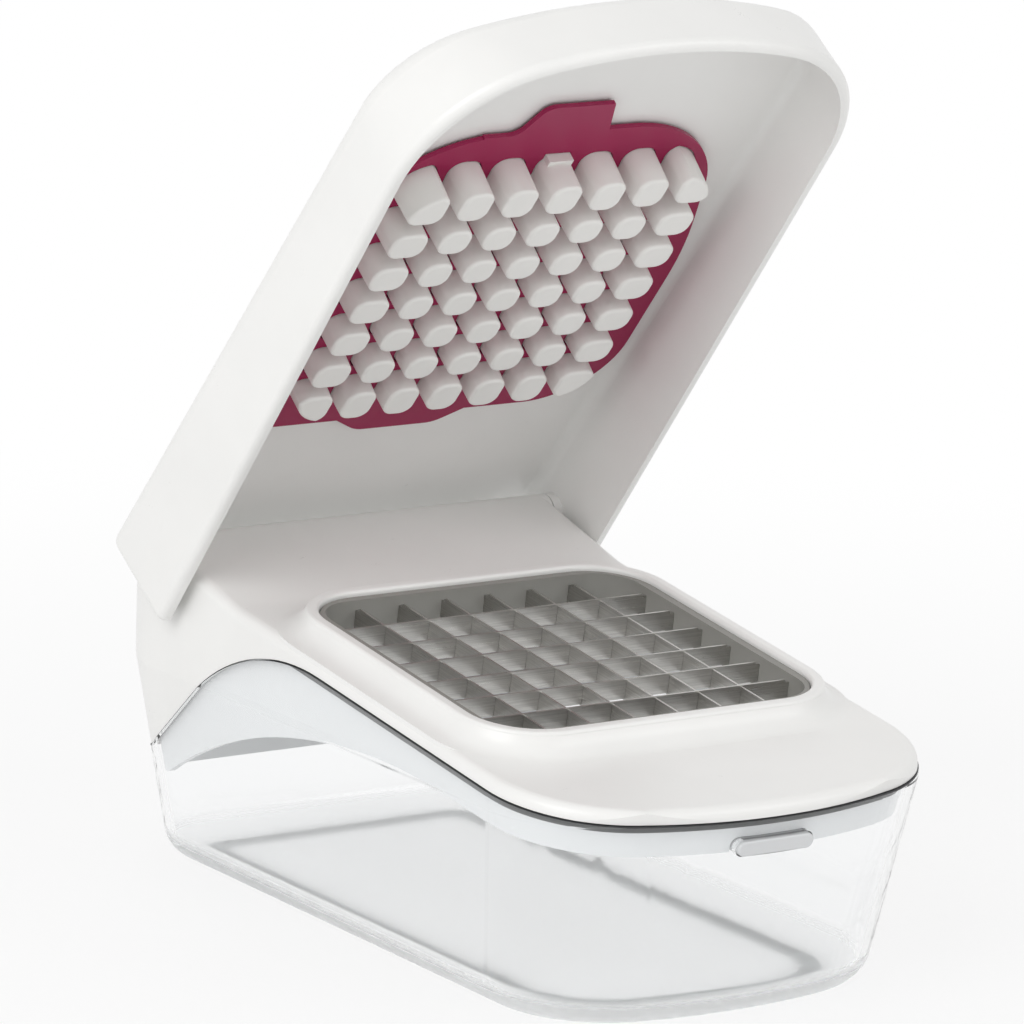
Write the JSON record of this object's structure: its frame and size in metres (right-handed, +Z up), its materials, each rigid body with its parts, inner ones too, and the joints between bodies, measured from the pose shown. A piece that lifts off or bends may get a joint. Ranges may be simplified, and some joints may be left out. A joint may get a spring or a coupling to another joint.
{
  "type": "vegetable chopper",
  "caption": "Lever vegetable chopper: a hinged lid presses blocks through a steel blade grid into a clear container with a push-button housing.",
  "frame": {"origin": "middle of the plan outline, on the surface the chopper stands on", "axes": "+Z up, -Y towards the nose with the release button, +X to the right, looking from the nose to the hinge"},
  "size_m": [0.1224, 0.2037, 0.2238],
  "materials": {
    "clear_plastic": "clear, polished",
    "foot_rubber": "milky, matte",
    "white_plastic": "satin white",
    "skirt_plastic": "smooth bluish white",
    "grey_plastic": "matte grey",
    "blade_steel": "bright cut strip",
    "pin_steel": "ground",
    "screw_steel": "zinc plated",
    "spring_steel": "drawn wire",
    "block_plastic": "satin off-white",
    "magenta_plastic": "satin deep pink"
  },
  "bodies": {
    "container": {"container": "clear_plastic", "non_slip_foot": "foot_rubber"},
    "housing": {"housing_top": "white_plastic", "inner_skirt": "skirt_plastic", "skirt_screws": "screw_steel", "hinge_pin_left": "pin_steel", "hinge_pin_right": "pin_steel", "button_guide": "skirt_plastic", "button_spring": "spring_steel", "guide_screws": "screw_steel"},
    "release_button": {"release_button": "skirt_plastic"},
    "blade_insert": {"blade_frame_upper": "grey_plastic", "blade_frame_lower": "grey_plastic", "blade_frame_rivets": "pin_steel", "blade_across_1": "blade_steel", "blade_across_2": "blade_steel", "blade_across_3": "blade_steel", "blade_across_4": "blade_steel", "blade_across_5": "blade_steel", "blade_across_6": "blade_steel", "blade_along_1": "blade_steel", "blade_along_2": "blade_steel", "blade_along_3": "blade_steel", "blade_along_4": "blade_steel", "blade_along_5": "blade_steel", "blade_along_6": "blade_steel"},
    "lid": {"lid_shell": "white_plastic", "pusher": "block_plastic"},
    "cleaning_grid": {"cleaning_grid": "magenta_plastic"}
  },
  "joints": [
    {"name": "housing_lift", "type": "slide", "parent": "container", "child": "housing", "axis": [0, 0, 1], "range_m": [0, 0.07]},
    {"name": "lid_hinge", "type": "hinge", "parent": "housing", "child": "lid", "pos_m": [0, 0.08038, 0.07681], "axis": [-1, 0, 0], "range_deg": [-56, 6]},
    {"name": "button_press", "type": "slide", "parent": "housing", "child": "release_button", "axis": [0, 0.9914, 0.1305], "range_m": [0, 0.003], "stiffness_N_per_m": 800, "springref_m": -0.002, "deforming": ["button_spring"]},
    {"name": "blade_insert_lift", "type": "slide", "parent": "housing", "child": "blade_insert", "axis": [0, -0.1305, 0.9914], "range_m": [0, 0.03]},
    {"name": "cleaning_grid_slide", "type": "slide", "parent": "lid", "child": "cleaning_grid", "axis": [0, -0.749, -0.6626], "range_m": [0, 0.014]}
  ]
}
